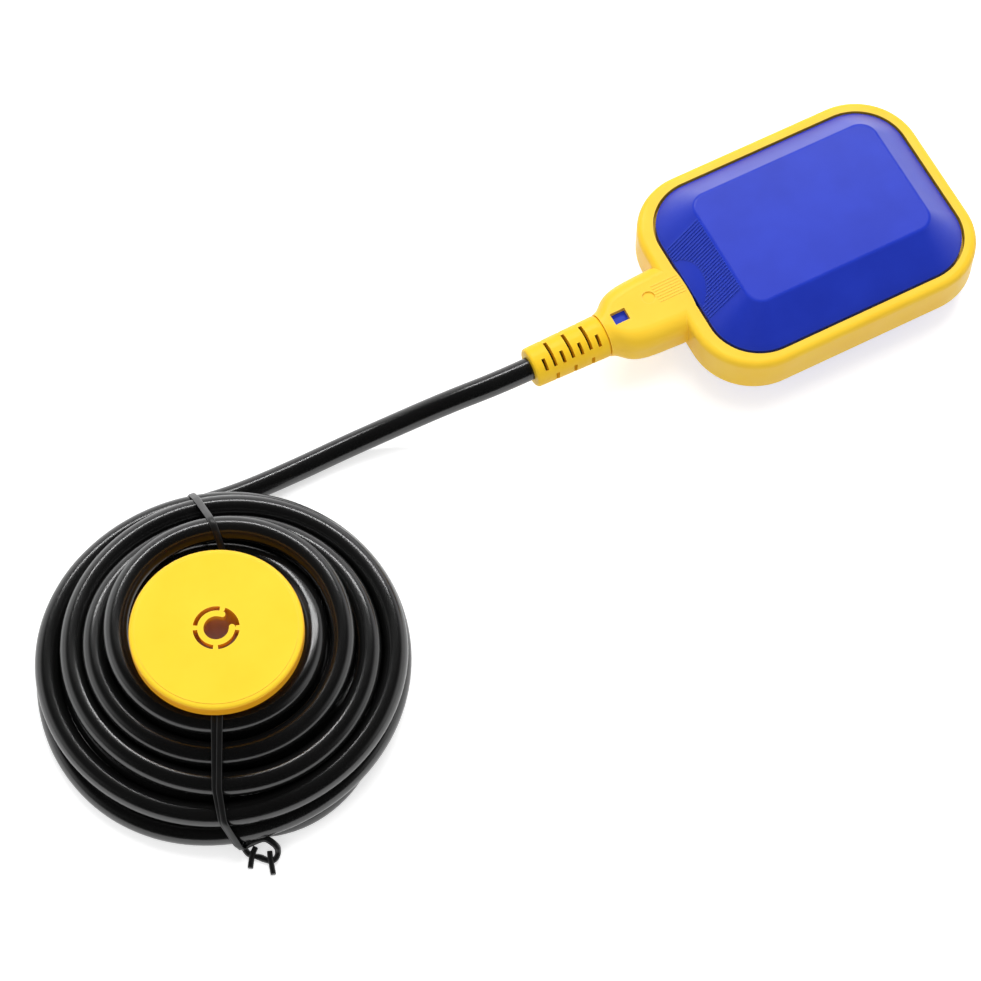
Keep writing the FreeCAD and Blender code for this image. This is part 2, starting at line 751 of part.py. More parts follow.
def cable_head():
    """The cable's end inside the boot, neck and clamp."""
    body = housing_body("cable_head")
    rod(body, "jacket", "YZ_Plane", "boot_face", "cable_end - boot_face", "cable_radius")
    return body


def cord_clamp():
    """The bridge that holds the cable down on its saddle."""
    body = housing_body("cord_clamp")
    low, high = "clamp_middle - clamp_length / 2", "clamp_middle + clamp_length / 2"
    block(body, "bridge", (low, "0 - clamp_width / 2", "0"),
          (high, "clamp_width / 2", "cable_radius + clamp_height"))
    rod(body, "bridge_groove", "YZ_Plane", f"{low} - overshoot", "clamp_length + 2 * overshoot",
        "cable_radius", cut=True)
    for i, side in enumerate((-1, 1)):
        at = f"({side}) * clamp_screw_spread / 2"
        rod(body, f"bridge_hole{i}", "XY_Plane", "0 - overshoot",
            "cable_radius + clamp_height + 2 * overshoot",
            "screw_radius + screw_clearance", "clamp_middle", at, cut=True)
    return body


def screws(label, places, seat, length):
    """A set of like screws: heads on a seat, shanks down from it."""
    shapes = []
    for i, (x, y) in enumerate(places):
        head = doc.addObject("Part::Cylinder", f"{label}_head{i}")
        shank = doc.addObject("Part::Cylinder", f"{label}_shank{i}")
        bind(head, "Radius", "screw_head_radius")
        bind(head, "Height", "screw_head_height")
        bind(shank, "Radius", "screw_radius")
        bind(shank, "Height", length)
        at_x, at_y = f"shell_middle + {x}", y
        move_to(head, at_x, at_y, f"mid_height + {seat}")
        move_to(shank, at_x, at_y, f"mid_height + {seat} - ({length})")
        screw = doc.addObject("Part::Fuse", f"{label}_screw{i}")
        screw.Base = head
        screw.Tool = shank
        shapes.append(screw)
    group = doc.addObject("Part::Compound", label)
    group.Links = shapes
    group.Label = label
    return group


def switch_carrier():
    """The moulded plate that seats the microswitch and forms the ball's track."""
    body = housing_body("switch_carrier")
    plate = plate_sketch(body, "carrier_outline", "carrier_low", "carrier_x", "carrier_x + carrier_length",
                         "carrier_width / 2", "carrier_corner")
    pad(body, plate, "carrier_plate", "carrier_plate_pad")
    outer = "track_half + track_wall"
    block(body, "track", ("track_x", f"ball_aside - ({outer})", "carrier_top - root"),
          ("track_end + track_wall", f"ball_aside + {outer}", "track_top"))
    block(body, "track_channel", ("track_x - overshoot", "ball_aside - track_half", "carrier_top"),
          ("track_end", "ball_aside + track_half", "track_top + overshoot"), cut=True)
    for i, (sx, sy) in enumerate(((-1, -1), (-1, 1), (1, -1), (1, 1))):
        rod(body, f"carrier_hole{i}", "XY_Plane", "carrier_low - overshoot",
            "carrier_plate + 2 * overshoot",
            "screw_radius + screw_clearance", f"carrier_middle + ({sx}) * boss_spread_x / 2",
            f"({sy}) * boss_spread_y / 2", cut=True)
    for i, side in enumerate((-1, 1)):
        rod(body, f"switch_hole{i}", "XY_Plane", "carrier_low - overshoot", "carrier_plate + 2 * overshoot",
            "screw_radius + screw_clearance", "case_x + case_screw_back",
            f"({side}) * case_screw_aside", cut=True)
    return body


def track_cover():
    """The lid over the ball's track, slit so that the ball can be seen."""
    body = housing_body("track_cover")
    outer = "track_half + track_wall"
    block(body, "lid_plate_block", ("track_x", f"ball_aside - ({outer})", "track_top"),
          ("track_end + track_wall", f"ball_aside + {outer}", "track_top + track_cover_height"))
    block(body, "lid_slit", ("track_x + slit_end", "ball_aside - track_slit / 2", "track_top - overshoot"),
          ("track_end - slit_end", "ball_aside + track_slit / 2",
          "track_top + track_cover_height + overshoot"), cut=True)
    return body


def steel_ball():
    ball = doc.addObject("Part::Sphere", "steel_ball")
    bind(ball, "Radius", "ball_radius")
    move_to(ball, "shell_middle + ball_rest", "ball_aside", "mid_height + ball_height")
    return ball


def microswitch_case():
    """The switch's case, with the plunger's guide, screw holes and the ears of the lever's hinge."""
    body = housing_body("microswitch_case")
    block(body, "case", ("case_x", "0 - case_width / 2", "carrier_top"),
          ("case_face", "case_width / 2", "carrier_top + case_height"))
    for i, side in enumerate((-1, 1)):
        far = f"case_mid + ({side}) * (lever_width / 2 + running_gap + ear_thickness / 2)"
        block(body, f"ear{i}",
              ("case_face - root", "hinge_aside - ear_width / 2", f"{far} - ear_thickness / 2"),
              ("hinge_x + ear_width / 2", "hinge_aside + ear_width / 2", f"{far} + ear_thickness / 2"))
    rod(body, "hinge_hole", "XY_Plane", "case_mid - pin_length / 2 - root", "pin_length + overshoot",
        "pin_radius", "hinge_x", "hinge_aside", cut=True)
    rod(body, "plunger_guide", "YZ_Plane", "case_face - plunger_seat - plunger_stroke - root",
        "plunger_seat + plunger_stroke + overshoot", "plunger_radius + running_gap", "plunger_aside",
        "case_mid", cut=True)
    case_holes(body, "case_hole", "carrier_top - overshoot", "case_height + 2 * overshoot")
    return body


def case_holes(body, name, start, length):
    for i, side in enumerate((-1, 1)):
        rod(body, f"{name}{i}", "XY_Plane", start, length, "case_screw_radius",
            "case_x + case_screw_back", f"({side}) * case_screw_aside", cut=True)


def microswitch_cover():
    body = housing_body("microswitch_cover")
    block(body, "cover", ("case_x", "0 - case_width / 2", "carrier_top + case_height"),
          ("case_face", "case_width / 2", "carrier_top + case_height + cover_height"))
    case_holes(body, "cover_hole", "carrier_top + case_height - overshoot", "cover_height + 2 * overshoot")
    return body


def terminal(label, step):
    """One of the blades that the wires are joined to."""
    body = housing_body(label)
    middle = f"({step}) * terminal_pitch"
    block(body, label + "_blade", ("case_x - terminal_length", f"{middle} - terminal_width / 2",
                                   "case_mid - terminal_thickness / 2"),
          ("case_x", f"{middle} + terminal_width / 2", "case_mid + terminal_thickness / 2"))
    rod(body, label + "_eye", "XY_Plane", "case_mid - overshoot", "2 * overshoot", "terminal_eye_radius",
        "case_x - terminal_length / 2", middle, cut=True)
    return body


def switch_plunger():
    """The button that the lever presses into the case."""
    plunger = doc.addObject("Part::Cylinder", "switch_plunger")
    bind(plunger, "Radius", "plunger_radius")
    bind(plunger, "Height", "plunger_seat + plunger_proud")
    plunger.Placement.Rotation = FreeCAD.Rotation(V(0, 1, 0), 90)
    move_to(plunger, "shell_middle + case_face - plunger_seat", "plunger_aside", "mid_height + case_mid")
    return plunger


def switch_lever():
    """The sprung strip that the ball swings against the plunger."""
    body = new_body("switch_lever", "shell_middle + hinge_x", "hinge_aside", "mid_height + case_mid")
    rod(body, "lever_eye", "XY_Plane", "0 - lever_width / 2", "lever_width", "eye_radius")
    block(body, "lever_strip", ("0 - eye_radius", "0", "0 - lever_width / 2"),
          ("lever_thickness - eye_radius", "lever_length", "lever_width / 2"))
    rod(body, "lever_bore", "XY_Plane", "0 - lever_width / 2 - overshoot", "lever_width + 2 * overshoot",
        "pin_radius + running_gap", cut=True)
    body.Placement.Rotation = FreeCAD.Rotation(V(0, 0, 1), -value("lever_free_angle"))
    return body


def lever_pin():
    pin = doc.addObject("Part::Cylinder", "lever_pin")
    bind(pin, "Radius", "pin_radius")
    bind(pin, "Height", "pin_length")
    move_to(pin, "shell_middle + hinge_x", "hinge_aside", "mid_height + case_mid - pin_length / 2")
    return pin


def tangent_route(points):
    """A wire of straight runs joined by tangent arcs, as large as the runs allow."""
    edges, radii, here = [], [], points[0]
    for before, corner, after in zip(points, points[1:], points[2:]):
        run_in, run_out = corner - before, after - corner
        reach = 0.45 * min(run_in.Length, run_out.Length)
        way_in, way_out = V(run_in).normalize(), V(run_out).normalize()
        half_turn = way_in.getAngle(way_out) / 2
        radii.append(reach / math.tan(half_turn))
        start, end = corner - way_in * reach, corner + way_out * reach
        middle_way = V(way_out - way_in).normalize()
        sag = radii[-1] / math.cos(half_turn) - radii[-1]
        edges.append(Part.LineSegment(here, start).toShape())
        edges.append(Part.Arc(start, corner + middle_way * sag, end).toShape())
        here = end
    edges.append(Part.LineSegment(here, points[-1]).toShape())
    return Part.Wire(edges), radii


def tube(label, points, radius):
    """A round cord swept along its route."""
    route, radii = tangent_route(points)
    start = Part.Wire([Part.makeCircle(radius, points[0], points[1] - points[0])])
    solid = route.makePipeShell([start], True, False)
    length = route.Length
    ideal = math.pi * radius ** 2 * length
    if abs(solid.Volume / ideal - 1) > 0.02:
        raise RuntimeError(f"{label} has volume {solid.Volume:.0f}, not {ideal:.0f}")
    print(f"{label}: {length:.1f} mm long, radii " + " ".join(f"{r:.0f}" for r in radii))
    feature = doc.addObject("Part::Feature", label)
    feature.Shape = solid
    feature.Label = label
    return feature


def head_wire(label, step):
    """One insulated core from the cable's end to its terminal."""
    x, z = value("shell_middle + cable_end"), value("mid_height")
    far = value("shell_middle + case_x - terminal_length")
    turn = math.radians({-1: 210, 0: 90, 1: 330}[step])
    ring = value("wire_ring")
    fan, lift = ring * math.cos(turn), ring * math.sin(turn)
    aside = step * value("terminal_pitch")
    level_z = value("mid_height + case_mid")
    span = far - x
    points = [V(x, fan, z + lift), V(x + 0.3 * span, fan, z + lift), V(x + 0.7 * span, aside, level_z),
              V(far, aside, level_z)]
    return tube(label, points, value("wire_radius"))


def lead_points():
    """The lead's route: out of the boot, down to the floor and in under the coil's far side."""
    start = value("0 - far_end")
    height = value("mid_height")
    floor = value("cable_radius") + 0.2
    return [V(start, 0, height), V(start - 12, 0, height), V(start - 29, 3.2, height - 4.2),
            V(start - 47, 6.8, floor + 5.4), V(start - 65, 9.0, floor + 1.2), V(start - 84, 9.3, floor),
            V(start - 102, 9.4, floor + 0.6), V(start - 113, 10.2, floor + 1.4)]


def cable_lead():
    return tube("cable_lead", lead_points(), value("cable_radius"))


def coil_corners(out):
    """Corners of the coil's section, each let out by a distance."""
    return [
        (f"coil_bore - {out}", f"coil_bottom - {out}"),
        (f"coil_outer - coil_round + 0.4 * {out}", f"coil_bottom - {out}"),
        (f"coil_outer + {out}", f"coil_bottom + coil_round - 0.4 * {out}"),
        (f"coil_outer + {out}", f"coil_brow - 2 * coil_round + 0.3 * {out}"),
        (f"coil_outer - 1.6 * coil_round + 0.6 * {out}", f"coil_brow + 0.9 * {out}"),
        (f"coil_bore + 2 * coil_round + 0.2 * {out}", f"coil_hill + {out}"),
        (f"coil_bore + 0.5 * coil_round - 0.6 * {out}", f"coil_hill + {out}"),
        (f"coil_bore - {out}", f"coil_hill - coil_round + 0.6 * {out}")]


def coil_tie(label, angle):
    """A plastic tie drawn tight round the coil."""
    body = new_body(label, "coil_x", "coil_y", "0")
    loop = new_sketch(body, label + "_loop", "XZ_Plane")
    outline(loop, coil_corners("(tie_gap + tie_thickness)"), "outer_")
    outline(loop, coil_corners("tie_gap"), "inner_")
    pad(body, loop, "tie_width", label + "_band").Midplane = True
    body.Placement.Rotation = FreeCAD.Rotation(V(0, 0, 1), value(angle))
    return body


def tail_wire(label, step):
    """One core bared at the cable's far end, lying in the gap inside the coil."""
    x, y = value("coil_x"), value("coil_y")
    wall = value("coil_bore")
    height = value("tail_lift") + step * value("tail_pitch")
    points = []
    for angle, inset in ((84, -2), (98, 1.2 + 0.6 * abs(step)), (116, 2.6), (134 + 4 * step, 2.2 + step)):
        t = math.radians(angle)
        points.append(V(x + (wall - inset) * math.cos(t), y + (wall - inset) * math.sin(t), height))
    return tube(label, points, value("tail_core_radius"))


def cable_coil():
    """The wound cable, as one ring with the outer shape of its turns."""
    body = new_body("cable_coil", "coil_x", "coil_y", "0")
    section = new_sketch(body, "coil_section", "XZ_Plane")
    outline(section, coil_corners("0"))
    spin(body, "Revolution", section, "coil_ring")
    return body


# Directions of the grip ring's bridges round the lid's hole, in degrees
BRIDGES = [48, 153, 243, 333]


def weight_lid():
    """The counterweight's lid, with the break-off ring that grips the cable, all one moulding."""
    body = new_body("weight_lid", "weight_x", "weight_y", "0")
    section = new_sketch(body, "lid_section", "XZ_Plane")
    seat = "cup_radius - cup_wall - core_gap"
    outline(section, [
        ("grip_slot_radius", "plate_bottom"), (f"{seat} - lid_lip", "plate_bottom"),
        (f"{seat} - lid_lip", "lid_bottom"),
        (seat, "lid_bottom"), (seat, "plate_bottom"), ("lid_radius - lid_skirt", "plate_bottom"),
        ("lid_radius - lid_skirt", "lid_bottom"), ("lid_radius", "lid_bottom"),
        ("lid_radius", "weight_height - lid_step"), ("lid_step_radius", "weight_height - lid_step"),
        ("lid_step_radius", "weight_height"), ("grip_slot_radius", "weight_height")])
    lid = spin(body, "Revolution", section, "lid")
    doc.recompute()
    top, rim = value("weight_height - lid_step"), value("lid_radius")
    soften(body, lid, lambda e: level(e, top) and e.BoundBox.XLength > 2 * rim - 0.1, "lid_edge", "lid_rim")
    grip_ring(body)
    return body


def grip_ring(body):
    """The open ring inside the lid's hole, held by four thin bridges."""
    lift = "weight_height - grip_ring_height"
    rod(body, "grip_disc", "XY_Plane", lift, "grip_ring_height", "grip_slot_radius + grip_root")
    rod(body, "grip_bore", "XY_Plane", f"{lift} - overshoot", "grip_ring_height + 2 * overshoot",
        "grip_bore_radius", cut=True)
    slots = new_sketch(body, "grip_slots_outline", "XY_Plane", f"{lift} - root")
    half = "grip_bridge_angle / 2"
    for i, (start, end) in enumerate(zip(BRIDGES, BRIDGES[1:] + BRIDGES[:1])):
        turn = 360 if end < start else 0
        ring_sector(slots, f"slot{i}", f"{start} + {half}", f"{end} + {turn} - {half}", "grip_ring_radius",
                    "grip_slot_radius")
    pocket(body, slots, "grip_ring_height + overshoot", "grip_slots")
    gap = new_sketch(body, "grip_gap_outline", "XY_Plane", f"{lift} - root")
    ring_sector(gap, "gap", "grip_turn - grip_gap_angle / 2", "grip_turn + grip_gap_angle / 2",
                "grip_bore_radius - root", "grip_ring_radius + grip_root")
    pocket(body, gap, "grip_ring_height + overshoot", "grip_ring_gap")
    middle, tip = "(grip_ring_radius + grip_bore_radius) / 2", "(grip_ring_radius - grip_bore_radius) / 2"
    for i, side in enumerate(("0 -", "")):
        turn = f"grip_turn + ({side} grip_gap_angle / 2)"
        rod(body, f"grip_tip{i}", "XY_Plane", lift, "grip_ring_height", tip, f"{middle} * cos({turn})",
            f"{middle} * sin({turn})")


def weight_cup():
    """The counterweight's cup, with the tube that the cable would run through."""
    body = new_body("weight_cup", "weight_x", "weight_y", "0")
    section = new_sketch(body, "cup_section", "XZ_Plane")
    outline(section, [
        ("tube_radius", "0"), ("cup_foot_radius", "0"), ("cup_radius", "plate_bottom"),
        ("cup_radius - cup_wall", "plate_bottom"), ("cup_foot_radius - cup_wall", "cup_floor"),
        ("tube_outer", "cup_floor"), ("tube_outer", "plate_bottom"), ("tube_radius", "plate_bottom")])
    spin(body, "Revolution", section, "cup")
    return body


def weight_ballast():
    """The iron ring that gives the counterweight its weight."""
    body = new_body("weight_ballast", "weight_x", "weight_y", "0")
    section = new_sketch(body, "ballast_section", "XZ_Plane")
    outline(section, [
        ("ballast_inner", "cup_floor"), ("ballast_outer", "cup_floor"),
        ("ballast_outer", "ballast_top"), ("ballast_inner", "ballast_top")])
    spin(body, "Revolution", section, "ballast")
    return body


def build():
    fill_sheet()
    screw_spots = [(f"carrier_middle + ({sx}) * boss_spread_x / 2", f"({sy}) * boss_spread_y / 2")
                   for sx in (-1, 1) for sy in (-1, 1)]
    clamp_spots = [("clamp_middle", f"({side}) * clamp_screw_spread / 2") for side in (-1, 1)]
    switch_spots = [("case_x + case_screw_back", f"({side}) * case_screw_aside") for side in (-1, 1)]
    return [
        upper_shell(), lower_shell(), outer_frame(), cable_boot(), cable_seal(), sealing_resin(),
                    cable_head(),
        cord_clamp(), switch_carrier(), track_cover(), steel_ball(), microswitch_case(),
                   microswitch_cover(),
        terminal("terminal_common", -1), terminal("terminal_open", 0), terminal("terminal_closed", 1),
        switch_plunger(), switch_lever(), lever_pin(),
        screws("carrier_screws", screw_spots, "carrier_top", "carrier_screw_length"),
        screws("clamp_screws", clamp_spots, "cable_radius + clamp_height", "clamp_screw_length"),
        screws("switch_screws", switch_spots, "carrier_top + case_height + cover_height",
               "switch_screw_length"),
        head_wire("wire_brown", -1), head_wire("wire_black", 0), head_wire("wire_blue", 1),
        cable_lead(), cable_coil(), coil_tie("coil_tie_near", "near_tie_angle"),
        coil_tie("coil_tie_far", "far_tie_angle"), tail_wire("tail_brown", -1), tail_wire("tail_black", 0),
        tail_wire("tail_blue", 1), weight_lid(), weight_cup(), weight_ballast(),
    ]


def check_and_write(parts):
    doc.recompute()
    for thing in doc.Objects:
        if "Invalid" in thing.State or "Error" in thing.State:
            raise RuntimeError(f"{thing.Name} failed: {thing.State}")
    os.makedirs("parts", exist_ok=True)
    for part in parts:
        shape = part.Shape
        if shape.isNull() or not shape.isValid():
            raise RuntimeError(f"{part.Label} has no sound shape")
        print(f"{part.Label}: {len(shape.Solids)} solids, {shape.Volume:.0f} mm3")
        shape.exportStep(f"parts/{part.Label}.step")


check_and_write(build())
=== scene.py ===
"""Looks of the cable float switch: its coiled cable, ties and finishes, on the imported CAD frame."""

import math
import random

import bmesh
import bpy
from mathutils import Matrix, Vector


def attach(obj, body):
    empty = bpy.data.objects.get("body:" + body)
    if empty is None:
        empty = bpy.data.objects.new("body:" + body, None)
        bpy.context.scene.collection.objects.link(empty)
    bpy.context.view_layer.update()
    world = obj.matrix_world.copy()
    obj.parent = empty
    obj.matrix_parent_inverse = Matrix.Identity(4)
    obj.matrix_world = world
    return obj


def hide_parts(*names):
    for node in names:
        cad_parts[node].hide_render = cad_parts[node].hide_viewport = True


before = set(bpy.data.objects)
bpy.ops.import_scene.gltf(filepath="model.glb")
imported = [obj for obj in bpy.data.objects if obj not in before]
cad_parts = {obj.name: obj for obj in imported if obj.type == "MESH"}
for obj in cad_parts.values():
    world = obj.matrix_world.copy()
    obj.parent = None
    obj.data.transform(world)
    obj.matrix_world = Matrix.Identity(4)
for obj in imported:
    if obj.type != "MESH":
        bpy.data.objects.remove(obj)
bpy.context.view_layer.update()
MM = 0.001
BODY = "float"

# Camera, fitted to the photograph; lengths are in metres where no name says otherwise
PHOTO_SIZE = 981
FOCAL_PIXELS = 3550
SENSOR_MM = 36
CAMERA_DISTANCE = 1.2
CAMERA_ELEVATION = math.radians(63.45)
LOOK_HEADING = math.radians(62.65)
TARGET = Vector((-0.10815, -0.0257, 0))
AWAY = Vector((math.cos(LOOK_HEADING), math.sin(LOOK_HEADING), 0))
VIEW_REACH = 20

# Cable and coil, in millimetres, but the cable's whole length in metres
CABLE_RADIUS = 4.0
CABLE_EXIT = (-80, 0, 20.5)
LEAD_ROUTE = [CABLE_EXIT, (-92, 0, 20.5), (-109, 3.2, 16.3), (-127, 6.8, 9.6), (-145, 9.0, 5.4),
              (-164, 9.3, 4.2), (-182, 9.4, 4.8)]
COIL_CENTRE = (-215.8, -43.9)
FLOOR_GAP = 0.1
POINTS_A_TURN = 18
PLACES_A_TURN = 6
# Where each turn lies, as distance out and height at each sixth of the way round from the camera's
# right; a turn with fewer pairs keeps its last pair. The first six turns show, from the floor up,
# and the others are a guess.
TURNS = [
    [(61.5, 5.8), (60.5, 5.8), (56.4, 4.9), (57.6, 4.4), (61.3, 4.6), (60.3, 11.6)],
    [(57.4, 12.4), (55.4, 12.0), (55.0, 12.0), (57.4, 13.0), (57.3, 13.5), (58.0, 18.5)],
    [(56.6, 20.0), (52.0, 18.5), (49.0, 18.5), (48.7, 20.0), (49.0, 21.5), (51.0, 23.5)],
    [(47.9, 23.5), (43.5, 21.0), (40.8, 20.5), (40.7, 24.5), (41.2, 26.0), (42.0, 28.0)],
    [(39.7, 29.0), (38.0, 29.5), (35.4, 30.5), (33.3, 32.0), (33.0, 32.5), (33.0, 32.5)],
    [(30.8, 28.5), (30.8, 23.0), (31.5, 22.5), (32.3, 24.0), (32.4, 24.5), (32.4, 23.0)],
    [(32.3, 16.8), (32.3, 16.8), (32.3, 16.8), (32.3, 16.8), (32.8, 16.8), (34.8, 16.8)],
    [(38.4, 17.0), (40.8, 14.2), (41.0, 13.8), (40.1, 16.8)],
    [(44.6, 9.8)],
    [(49.6, 12.3)],
    [(52.0, 6.0), (50.3, 4.4), (50.3, 4.3), (50.3, 4.3), (50.3, 4.3), (60.5, 4.3)],
    [(46.0, 4.3), (41.5, 4.3), (40.6, 4.3)],
    [(36.2, 10.5)],
    [(32.5, 5.6), (31.2, 4.4), (28.9, 5.0)],
]
# Where the lead meets the first turn and where the last turn ends, in degrees from the camera's right
JOIN_ANGLE = 94.5
END_ANGLE = 112
WOBBLE = 0.25
WOBBLE_SEED = 100


def polar(angle):
    return Vector((math.cos(angle), math.sin(angle), 0))


def wobble(turn, angle):
    """A small unevenness of each turn, the same on every run."""
    rng = random.Random(WOBBLE_SEED + turn)
    first, second = rng.uniform(0, math.tau), rng.uniform(0, math.tau)
    return WOBBLE * (0.6 * math.sin(angle + first) + 0.4 * math.sin(2 * angle + second))


def blend(a, b, c, d, t):
    """The place a share t of the way from b to c, on a smooth line through four places."""
    return (2 * b + (c - a) * t + (2 * a - 5 * b + 4 * c - d) * t ** 2 + (3 * b - a - 3 * c + d) * t ** 3) / 2


def listed_place(index):
    """A pair of distance out and height from the list of turns, counted from the first one."""
    turn, side = divmod(index, PLACES_A_TURN)
    row = TURNS[min(max(turn, 0), len(TURNS) - 1)]
    return Vector(row[min(side, len(row) - 1)])


def between_places(count):
    """Distance out and height at a count of listed places that needn't be whole."""
    index = math.floor(count)
    return blend(*(listed_place(index + step) for step in (-1, 0, 1, 2)), count - index)


def control_ratio():
    """How much closer to the centre a quadratic spline runs than its control points."""
    return math.cos(math.pi / POINTS_A_TURN)


def coil_point(degrees):
    """A control point of the coil's line, counted in degrees round from the camera's right."""
    out, height = between_places(degrees * PLACES_A_TURN / 360)
    heading = LOOK_HEADING - math.pi / 2 + math.radians(degrees)
    out += wobble(int(degrees // 360), heading)
    place = Vector((*COIL_CENTRE, 0)) + polar(heading) * out / control_ratio()
    place.z = max(height, CABLE_RADIUS + FLOOR_GAP)
    return place


def cable_route():
    """Control points of the whole cable, from the float to its bare end, in millimetres."""
    points = [Vector(p) for p in LEAD_ROUTE]
    step = 360 / POINTS_A_TURN
    last = 360 * (len(TURNS) - 1) + END_ANGLE
    count = int((last - JOIN_ANGLE) // step)
    points += [coil_point(JOIN_ANGLE + step * i) for i in range(count + 1)]
    points.append(coil_point(last))
    return points


def spline_curve(name, points, radius, sides=8, detail=8):
    """A round cord along a quadratic spline through its control points, given in millimetres."""
    curve = bpy.data.curves.new(name, "CURVE")
    curve.dimensions = "3D"
    curve.bevel_depth = radius * MM
    curve.bevel_resolution = sides
    curve.resolution_u = detail
    curve.use_fill_caps = True
    curve.twist_mode = "MINIMUM"
    spline = curve.splines.new("NURBS")
    spline.points.add(len(points) - 1)
    for point, place in zip(spline.points, points):
        point.co = (*(place * MM), 1)
    spline.order_u = 3
    spline.use_endpoint_u = True
    piece = bpy.data.objects.new(name, curve)
    bpy.context.scene.collection.objects.link(piece)
    return piece


def make_camera():
    """The photograph's camera."""
    data = bpy.data.cameras.new("camera")
    data.sensor_width = SENSOR_MM
    data.lens = SENSOR_MM * FOCAL_PIXELS / PHOTO_SIZE
    data.clip_end = VIEW_REACH
    camera = bpy.data.objects.new("camera", data)
    bpy.context.scene.collection.objects.link(camera)
    back = AWAY * -math.cos(CAMERA_ELEVATION)
    back.z = math.sin(CAMERA_ELEVATION)
    camera.location = TARGET + back * CAMERA_DISTANCE
    camera.rotation_euler = (-back).to_track_quat("-Z", "Y").to_euler()
    bpy.context.scene.camera = camera


def centreline(piece):
    """Points along a curve's own line, in millimetres."""
    bare = piece.data.copy()
    bare.bevel_depth = 0
    holder = bpy.data.objects.new("line", bare)
    mesh = bpy.data.meshes.new_from_object(holder)
    line = [v.co / MM for v in mesh.vertices]
    bpy.data.objects.remove(holder)
    bpy.data.curves.remove(bare)
    bpy.data.meshes.remove(mesh)
    return line


make_camera()
cable = spline_curve("cable", cable_route(), CABLE_RADIUS)


# Ties round the coil, in millimetres

TIE_THICKNESS = 0.7
TIE_GAP = 0.1
FAR_TIE_WIDTH = 2.3
NEAR_TIE_WIDTH = 1.9
KNOT_WIDTH = 1.8
# A strip's edge is bevelled: the share of its half width and of its half thickness that stay flat
FLAT_WIDTH = 0.75
FLAT_EDGE = 0.3
# Points round each turn of the cable that a band can touch
ROUND_POINTS = 36
# Each band runs over the coil from one plan point to another, both in its upright plane
FAR_BAND = (Vector((-202.4, -18.0, 0)), Vector((-200.6, 12.0, 0)))
NEAR_BANDS = [
    (Vector((-231.4, -73.7, 0)), Vector((-242.5, -95.4, 0))),
    (Vector((-229.6, -74.3, 0)), Vector((-239.8, -93.1, 0))),
]
# A band's section of the coil starts this far inside its first plan point
BAND_START = 12
# The near bands lean sideways by this much towards their knot on the coil's outer side: from this
# height, over this drop, and over this run out from the section's middle
LEAN = 7.2
LEAN_TOP = 27
LEAN_DROP = 24
LEAN_RUN = 10
KNOT_LOOP = [(-238.0, -104.3, 2.6), (-233.9, -105.3, 6.0), (-230.8, -106.2, 6.2), (-228.8, -109.4, 5.0),
             (-228.9, -110.9, 3.2), (-230.3, -112.0, 1.8), (-232.3, -111.7, 1.2), (-235.1, -108.7, 1.2),
             (-237.2, -106.8, 1.2)]
KNOT_TAILS = [
    [(-234.6, -105.9, 2.4), (-236.6, -107.5, 1.7), (-237.6, -108.9, 1.1), (-238.9, -110.9, 1.0)],
    [(-231.2, -109.4, 2.6), (-231.8, -111.0, 2.0), (-232.5, -113.4, 1.2), (-233.3, -116.2, 1.0)],
]


def section_turns(line, origin, heading):
    """Where the cable crosses an upright half-plane: distance out and height of each crossing."""
    across = Vector((-heading.y, heading.x, 0))
    found = []
    for a, b in zip(line, line[1:]):
        side_a, side_b = (a - origin).dot(across), (b - origin).dot(across)
        if side_a * side_b < 0:
            hit = a.lerp(b, side_a / (side_a - side_b))
            out = (hit - origin).dot(heading)
            if out > 0:
                found.append((out, hit.z))
    return found


def turns_right(a, b, c):
    return (b[0] - a[0]) * (c[1] - a[1]) - (b[1] - a[1]) * (c[0] - a[0]) <= 0


def lower_chain(points):
    """The part of the points' outline that a band pulled tight along one side would touch."""
    chain = []
    for p in points:
        while len(chain) > 1 and turns_right(chain[-2], chain[-1], p):
            chain.pop()
        chain.append(p)
    return chain[:-1]


def hull_round(turns, gap):
    """The outline of a band drawn tight round circles, as a list of points going round."""
    cloud = set()
    reach = CABLE_RADIUS + gap
    for out, height in turns:
        for i in range(ROUND_POINTS):
            t = math.tau * i / ROUND_POINTS
            cloud.add((out + reach * math.cos(t), max(height + reach * math.sin(t), TIE_THICKNESS / 2)))
    cloud = sorted(cloud)
    return lower_chain(cloud) + lower_chain(cloud[::-1])


def smooth_step(t):
    t = min(max(t, 0.0), 1.0)
    return t * t * (3 - 2 * t)


def add_strip(mesh, path, normals, width, thickness=TIE_THICKNESS, closed=True):
    """A flat strip with bevelled edges along a path, its flat side square to the normals."""
    rings = []
    count = len(path)
    for i, (place, normal) in enumerate(zip(path, normals)):
        after = path[(i + 1) % count] if closed else path[min(i + 1, count - 1)]
        before = path[i - 1] if closed else path[max(i - 1, 0)]
        side = (after - before).cross(normal).normalized() * width / 2
        rise = normal.normalized() * thickness / 2
        corners = [side * FLAT_WIDTH + rise, side * -FLAT_WIDTH + rise,
                   -side + rise * FLAT_EDGE, -side - rise * FLAT_EDGE,
                   side * -FLAT_WIDTH - rise, side * FLAT_WIDTH - rise,
                   side - rise * FLAT_EDGE, side + rise * FLAT_EDGE]
        rings.append([mesh.verts.new((place + corner) * MM) for corner in corners])
    following = rings[1:] + rings[:1] if closed else rings[1:]
    for a, b in zip(rings, following):
        for i in range(len(a)):
            j = (i + 1) % len(a)
            mesh.faces.new((a[i], a[j], b[j], b[i]))
    if not closed:
        mesh.faces.new(rings[0][::-1])
        mesh.faces.new(rings[-1])


